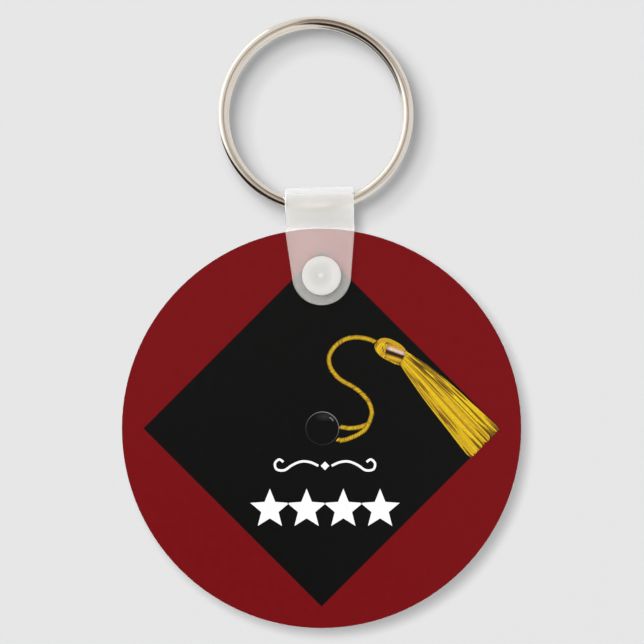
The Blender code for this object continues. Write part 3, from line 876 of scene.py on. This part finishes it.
def add_skirt(ink):
    """The tassel's threads, side by side and over each other, with ragged ends."""
    draw = random.Random(11)
    made = Print()
    base = MOTIF_LEVEL - FILM
    rows, strands, streaks = 44, 118, 54
    top, low = cut_evenly(SKIRT_TOP_EDGE, rows), cut_evenly(SKIRT_LOW_EDGE, rows)

    def place(share, across):
        run = share * rows
        i = min(int(run), rows - 1)
        a = top[i].lerp(top[i + 1], run - i)
        b = low[i].lerp(low[i + 1], run - i)
        return a.lerp(b, min(max(across, 0.0), 1.0))

    outline = top[:-2] + low[:-2][::-1]
    made.area(outline, base + GROUND, mix(BARK, OLIVE, 0.35))
    lowest, step = base + 0.010 * MM, 0.0004 * MM
    order = list(range(strands))
    draw.shuffle(order)
    for k, index in enumerate(order):
        across = (index + 0.5) / strands
        bunch = noise.noise(Vector((across * 9.0, 3.1, 0.4)))
        fine = draw.random()
        start = 0.0 if draw.random() < 0.8 else draw.uniform(0.02, 0.45)
        ragged = 0.050 * noise.noise(Vector((across * 22, 8.0, 1.0))) - 0.012 * draw.random()
        end = min(1.0, 0.995 + ragged)
        sway, phase = draw.uniform(-0.020, 0.020), draw.uniform(0, 6.28)
        drift = draw.uniform(-0.03, 0.03)
        path = []
        for t in spread(start, end, 30):
            path.append(place(t, across + drift * t + sway * math.sin(phase + 5.0 * t) * (0.3 + t)))
        # Dark threads are commoner along the tassel's upper and lower sides.
        dark = 0.10 + (0.26 if across < 0.20 else 0) + (0.16 if across > 0.88 else 0)
        if fine < dark - 0.10 * bunch:
            tone = mix(BARK, OLIVE, draw.random())
            width = draw.uniform(0.07, 0.15)
        elif fine < 0.42:
            tone = mix(DEEP_GOLD, GOLD, draw.random())
            width = draw.uniform(0.14, 0.26)
        else:
            tone = mix(GOLD, SUN, 0.35 + 0.65 * draw.random())
            width = draw.uniform(0.16, 0.32)

        def wide(share, width=width, start=start, end=end):
            return width * (0.42 + 0.95 * (start + (end - start) * share))

        rim = mix(tone, OLIVE, 0.45)
        made.strip(path, wide, lowest + k * step, tone, rim, end_width=0.3)

    for k in range(streaks):
        across = draw.random()
        # Every third dark streak lies near the upper side, and two of five reach the ragged end.
        if k % 3 == 0:
            across *= 0.26
        elif k % 7 == 0:
            across = 1 - 0.12 * across
        start = draw.uniform(0.0, 0.75) if k % 4 else draw.uniform(0.0, 0.12)
        end = min(1.0, start + draw.uniform(0.12, 0.42))
        if k % 5 < 2:
            start, end = draw.uniform(0.76, 0.92), 1.0
        drift = draw.uniform(-0.02, 0.02)
        path = [place(t, across + drift * t) for t in spread(start, end, 16)]
        tone = mix(BARK, OLIVE, draw.random() ** 1.3)
        width = draw.uniform(0.06, 0.13) * (1.6 if k % 3 == 0 or k % 5 < 2 else 1.0)

        def taper(share, width=width, open_end=k % 5 < 2):
            return width * (0.25 + (share if open_end else math.sin(math.pi * share)) * 1.1)

        level = lowest + (strands + k / 2) * step
        made.strip(path, taper, level, tone, mix(tone, DEEP_GOLD, 0.25), end_width=0.3)
    return made.make("tassel_skirt_threads", ink, "tassel_skirt_ink")


def add_knot(ink):
    """Wrapped head of the tassel: threads over a gold dome."""
    draw = random.Random(5)
    made = Print()
    base = MOTIF_LEVEL - FILM
    outline = smooth(KNOT_OUTLINE + [KNOT_OUTLINE[0]], 5)[:-1]
    made.area(outline, base + GROUND, mix(DEEP_GOLD, GOLD, 0.45))
    axis = [Vector((7.85, 11.92)), Vector((11.45, 10.06))]
    along, side = course(axis, 0)
    for i in range(12):
        share = i / 11
        spot = axis[0].lerp(axis[1], 0.07 + 0.89 * share)
        reach = 1.42 * math.sqrt(max(0.06, 1 - (1 - min(share * 2.2, 1)) ** 2)) * 0.88
        path = []
        for s in spread(-1, 1, 12):
            bulge = -0.26 * (1 - s * s) * (1 - share)
            path.append(spot + side * (reach * s) + along * (bulge + 0.36 * s * math.sqrt(share)))
        tone = mix(GOLD, SUN, draw.random()) if i % 4 else mix(DEEP_GOLD, GOLD, draw.uniform(0.1, 0.6))
        made.strip(
            path, 0.30 + 0.06 * draw.random(), base + (0.008 + 0.001 * i) * MM,
            tone, mix(tone, DEEP_GOLD, 0.8), end_width=0.2,
        )
    for start, end, width in (
        ((7.66, 11.62), (8.02, 12.42), 0.16), ((8.62, 11.75), (8.86, 10.86), 0.12),
        ((9.02, 12.02), (9.46, 12.30), 0.15), ((9.00, 10.62), (9.30, 10.10), 0.14),
    ):
        path = bowed(Vector(start), Vector(end), side * 0.06, 6)
        tone = mix(BARK, OLIVE, draw.random())
        made.strip(path, width, base + 0.026 * MM, tone, mix(tone, DEEP_GOLD, 0.4), end_width=0.2)
    return made.make("tassel_knot_threads", ink, "tassel_knot_ink")


def add_band(ink):
    """The metal band round the tassel's neck: streaks of light and dark along it."""
    made = Print()
    base = DETAIL_LEVEL - FILM
    start_high, start_low = Vector((9.42, 12.32)), Vector((8.98, 10.12))
    end_high, end_low = Vector((12.04, 11.02)), Vector((11.18, 9.16))
    tones = [
        (0.00, mix(DEEP_GOLD, OLIVE, 0.5)), (0.05, GOLD), (0.11, DEEP_GOLD), (0.17, PINK),
        (0.25, srgb(226, 198, 182)), (0.33, PINK), (0.38, mix(PINK, BARK, 0.6)), (0.43, srgb(44, 26, 12)),
        (0.60, srgb(50, 31, 12)), (0.67, mix(BARK, DEEP_GOLD, 0.6)), (0.76, GOLD),
        (0.88, mix(DEEP_GOLD, GOLD, 0.5)), (1.00, OLIVE),
    ]

    def tone_at(share):
        for (a, first), (b, second) in zip(tones, tones[1:]):
            if share <= b:
                return mix(first, second, (share - a) / (b - a))
        return tones[-1][1]

    count = 26
    for i in range(count):
        share = (i + 0.5) / count
        a = start_high.lerp(start_low, share)
        b = end_high.lerp(end_low, share)
        bow = Vector((0.10, -0.05)) * math.sin(math.pi * share)
        path = [a.lerp(b, t) + bow * t for t in spread(0, 1, 8)]
        width = 1.18 * (start_high - start_low).length / count

        def tint(t, share=share):
            base_tone = tone_at(min(max(share + 0.14 * (t - 0.5), 0), 1))
            return mix(base_tone, BARK, 0.55 * max(0, 1 - t * 5) + 0.45 * max(0, t * 6 - 5))

        made.strip(path, width, base + 0.006 * MM + (i % 2) * 0.002 * MM, tint, tint, end_width=1.0)
    return made.make("tassel_band_streaks", ink, "tassel_band_ink", slot_name="brown_ink")


def add_button_marks(ink):
    """The button's thin rim, brightest at the upper right, and the glint beside it."""
    made = Print()
    base = front_of("front_button_rim_ink") - FILM
    low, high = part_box("front_button_rim_ink")
    centre = (low + high) / 2 - DISC_CENTRE
    middle = Vector((centre.x / MM, centre.z / MM))
    radius = (high.x - low.x) / 2 / MM - 0.07
    path = [middle + Vector(point) for point in circle(radius, 0, 128)]
    path.append(path[0])

    def lit(share):
        return 0.5 + 0.5 * math.cos(2 * math.pi * share - math.radians(62))

    def tint(share):
        return mix(srgb(52, 52, 53), srgb(140, 140, 140), lit(share) ** 2)

    def wide(share):
        return 0.055 + 0.045 * lit(share)

    made.strip(path, wide, base + 0.02 * MM, tint, tint, end_width=1.0)
    made.make("button_rim_line", ink, "front_button_rim_ink", slot_name="grey_ink")

    glint = Print()
    base = front_of("button_glint_ink") - FILM
    for start, end, width, tone in (
        ((0.98, 1.58), (1.56, 1.02), 0.13, srgb(150, 150, 150)),
        ((1.22, 1.66), (1.72, 1.16), 0.07, srgb(92, 92, 92)),
    ):
        line = bowed(middle + Vector(start), middle + Vector(end), Vector((0.05, 0.05)), 8)
        glint.strip(line, width, base + 0.02 * MM, tone, mix(tone, srgb(40, 40, 40), 0.6))
    glint.make("button_glint_marks", ink, "button_glint_ink", slot_name="grey_ink")


def add_print():
    threads, marks = tinted_material("thread_ink", 0.10), tinted_material("mark_ink", 0.04)
    add_cord(threads, "tassel_cord_end_yarns", CORD_END_ROUTE, MOTIF_LEVEL, "tassel_cord_end_ink", 2)
    add_cord(threads, "tassel_cord_yarns", CORD_ROUTE, DETAIL_LEVEL, "tassel_cord_ink", 1)
    add_skirt(threads)
    add_knot(threads)
    add_band(threads)
    add_button_marks(marks)


def paint_nodes():
    """Finishes for the flat CAD films, which are the right shape as they are."""
    red = ink_material("red_ink_gloss", (0.187, 0.0012, 0.0036), 0.04)
    black = ink_material("black_ink_gloss", (0.0036, 0.0036, 0.0036), 0.10)
    white = ink_material("white_ink_gloss", (0.95, 0.95, 0.95), 0.02)
    grey = ink_material("grey_ink_gloss", srgb(92, 92, 92), 0.05)
    coat = board_material("gloss_coat", (0.84, 0.84, 0.835), (0.88, 0.88, 0.875), 0.3)
    finishes = {
        "ground": red, "cap_board": black, "rear_button_ink": black, "button_rim": grey, "scroll": white,
        "star": white, "gloss_coat": coat, "front_button_ink": button_material(),
    }
    for name, node in frame["nodes"].items():
        material = next((m for key, m in finishes.items() if key in name), None)
        if node.hide_render or material is None:
            continue
        node.data.materials.clear()
        node.data.materials.append(material)


# ---------------------------------------------------------------- studio

CAMERA_LENS = 100.0
SENSOR_WIDTH = 36.0
CAMERA_AIM = DISC_CENTRE + Vector((0.063 * MM, -1.2 * MM, 15.21 * MM))
FRAME_WIDTH = 0.09205
CAMERA_DISTANCE = FRAME_WIDTH * CAMERA_LENS / SENSOR_WIDTH
LOOK_AHEAD = (math.pi / 2, 0, 0)
WALL_DISTANCE = 0.80
WALL_REACH = math.radians(16)
WALL_TONE = 0.093
FLOOR_HEIGHT = -0.41
FLOOR_HALF = 3.0
FLOOR_TONE = 0.93
FLOOR_FADE_START, FLOOR_FADE_END = 0.9, 2.6
WORLD_LIGHT = 0.86

COOL = (0.97, 1.0, 1.07)
WARM = (1.0, 0.90, 0.80)
DARK = (1.0, 0.75, 0.62)
# Reflectors: (name, strength, colour, distance, edges), with edges as (turn, lean from, lean to).
CARDS = [
    ("white_card", 1.42, COOL, 0.36,
     [(116, 50, 120), (130, 42, 120), (165, 36, 118), (180, 30, 102), (194, 26, 62)]),
    ("dark_band", 0.03, DARK, 0.33,
     [(186, 104, 140), (205, 40, 134), (220, 20, 130), (240, 17, 128), (258, 10, 122), (270, 6, 60),
      (284, 0, 30)]),
    ("grey_middle", 0.55, WARM, 0.34, [(0, 0, 13), (360, 0, 13)]),
    ("dim_arc", 0.22, DARK, 0.335, [(24, 23, 29), (42, 22, 30), (62, 19, 31), (82, 2, 42), (98, 0, 38)]),
    ("dim_hook", 0.42, WARM, 0.335, [(298, 12, 20), (316, 20, 32), (332, 40, 54)]),
]


def add_camera():
    data = bpy.data.cameras.new("camera")
    data.lens = CAMERA_LENS
    data.sensor_width = SENSOR_WIDTH
    data.clip_start = 0.01
    data.clip_end = 20
    camera = add_object("camera", data)
    camera.location = CAMERA_AIM - Vector((0, CAMERA_DISTANCE, 0))
    camera.rotation_euler = LOOK_AHEAD
    bpy.context.scene.camera = camera
    return camera


def stage_net(name, points, steps, material):
    """A square net of steps by steps faces, whose points are listed row by row."""
    faces = []
    for i in range(steps):
        for j in range(steps):
            a = i * (steps + 1) + j
            faces.append((a, a + 1, a + steps + 2, a + steps + 1))
    mesh = bpy.data.meshes.new(name)
    mesh.from_pydata([tuple(p) for p in points], [], faces)
    net = finish_mesh(name, mesh, material)
    return net


def paper_material(name, tone):
    """Matt paper of one even grey."""
    material, nodes, links, shader = new_material(name)
    shader.inputs["Base Color"].default_value = (tone, tone, tone, 1)
    shader.inputs["Roughness"].default_value = 1.0
    shader.inputs["Specular IOR Level"].default_value = 0.0
    return material, nodes, links, shader


def add_wall(camera):
    """A curved pale screen behind the object, evenly far from the camera."""
    material = paper_material("screen_paper", WALL_TONE)[0]
    steps, points = 24, []
    for turn in spread(-WALL_REACH, WALL_REACH, steps):
        for rise in spread(-WALL_REACH, WALL_REACH, steps):
            direction = Vector((math.sin(turn), math.cos(turn), math.tan(rise))).normalized()
            points.append(camera.location + direction * (CAMERA_DISTANCE + WALL_DISTANCE))
    return stage_net("screen", points, steps, material)


def add_floor():
    """A pale floor whose edge fades into the background."""
    material, nodes, links, shader = paper_material("floor_paper", FLOOR_TONE)
    out = distance_from(nodes, links, (0, 0, 0), (1, 1, 1))
    fade = range_of(nodes, links, out, 1.0, 0.0, FLOOR_FADE_START, FLOOR_FADE_END, "SMOOTHSTEP")
    links.new(fade, shader.inputs["Alpha"])
    points = [(x, y, 0) for y in (-FLOOR_HALF, FLOOR_HALF) for x in (-FLOOR_HALF, FLOOR_HALF)]
    stage_net("floor", points, 1, material).location.z = FLOOR_HEIGHT


def add_card(name, strength, colour, distance, edges):
    """A curved reflector round the ring that only mirror-like surfaces see.

    edges lists (turn, lean from, lean to) in degrees: turn is the direction in the picture plane,
    and the leans are angles from the axis that runs from the ring towards the camera.
    """
    material = bpy.data.materials.new(name)
    material.use_nodes = True
    nodes, links = material.node_tree.nodes, material.node_tree.links
    nodes.clear()
    glow = nodes.new("ShaderNodeEmission")
    glow.inputs["Color"].default_value = (*colour, 1)
    glow.inputs["Strength"].default_value = strength
    out = nodes.new("ShaderNodeOutputMaterial")
    links.new(glow.outputs["Emission"], out.inputs["Surface"])
    steps, points = 20, []
    for i in range(steps + 1):
        run = i / steps * (len(edges) - 1)
        k = min(int(run), len(edges) - 2)
        turn, near, far = (a + (b - a) * (run - k) for a, b in zip(edges[k], edges[k + 1]))
        turn = math.radians(turn)
        for lean in spread(math.radians(near), math.radians(far), steps):
            sideways = Vector((math.cos(turn), 0, math.sin(turn))) * math.sin(lean)
            points.append(RING_CENTRE + (sideways - Vector((0, math.cos(lean), 0))) * distance)
    card = stage_net(name, points, steps, material)
    card.visible_camera = False
    card.visible_diffuse = False
    card.visible_transmission = False
    card.visible_volume_scatter = False
    card.visible_shadow = False


def add_lamp(name, kind, location, rotation, power):
    """A lamp that mirror-like surfaces don't see."""
    data = bpy.data.lights.new(name, kind)
    data.energy = power
    lamp = add_object(name, data)
    lamp.location = location
    lamp.rotation_euler = rotation
    lamp.visible_glossy = False
    return lamp


def add_shadow_lamp(name, camera, shift, radius, power, receivers, blocker=None):
    """A small lamp beside the camera that lights only the receivers, so that a shadow falls on them.

    It stands shift to the left of the camera and above it. With a blocker, no other piece throws a
    shadow in its light.
    """
    place = camera.location + Vector((-shift, 0, shift))
    lamp = add_lamp(name, "SPOT", place, LOOK_AHEAD, power)
    lamp.data.shadow_soft_size = radius
    lamp.data.spot_size = math.radians(62)
    lamp.data.spot_blend = 0.2
    lamp.light_linking.receiver_collection = receivers
    if blocker:
        blockers = bpy.data.collections.new(name + "_blockers")
        blockers.objects.link(blocker)
        lamp.light_linking.blocker_collection = blockers


def add_key_box():
    """One soft box in front, at the upper left."""
    place, aim = Vector((-0.55, -0.75, 0.45)), Vector((0, 0, -0.04))
    box = add_lamp("key_box", "AREA", place, (aim - place).to_track_quat("-Z", "Y").to_euler(), 3.0)
    box.data.size = 0.5


def add_world():
    world = bpy.data.worlds.new("studio")
    world.use_nodes = True
    background = world.node_tree.nodes["Background"]
    background.inputs["Color"].default_value = (1, 1, 1, 1)
    background.inputs["Strength"].default_value = WORLD_LIGHT
    bpy.context.scene.world = world


def add_studio(ring):
    camera = add_camera()
    screen = bpy.data.collections.new("lit_by_shadow_lamps")
    screen.objects.link(add_wall(camera))
    add_floor()
    add_world()
    for card in CARDS:
        add_card(*card)
    add_shadow_lamp("shadow_lamp", camera, 1.30 * MM, 1.4 * MM, 168.0, screen)
    add_shadow_lamp("ring_shadow_lamp", camera, 2.35 * MM, 3.0 * MM, 167.0, screen, ring)
    add_key_box()
    settings = bpy.context.scene.view_settings
    settings.view_transform = "Standard"
    settings.look = "None"
    settings.exposure = 0
    settings.gamma = 1


ring = add_ring(nickel_material())
add_strap(milky_material())
add_snap(snap_material())
add_board(board_material("white_board_cut", (0.84, 0.84, 0.83), (0.90, 0.90, 0.89)))
add_print()
paint_nodes()
add_studio(ring)
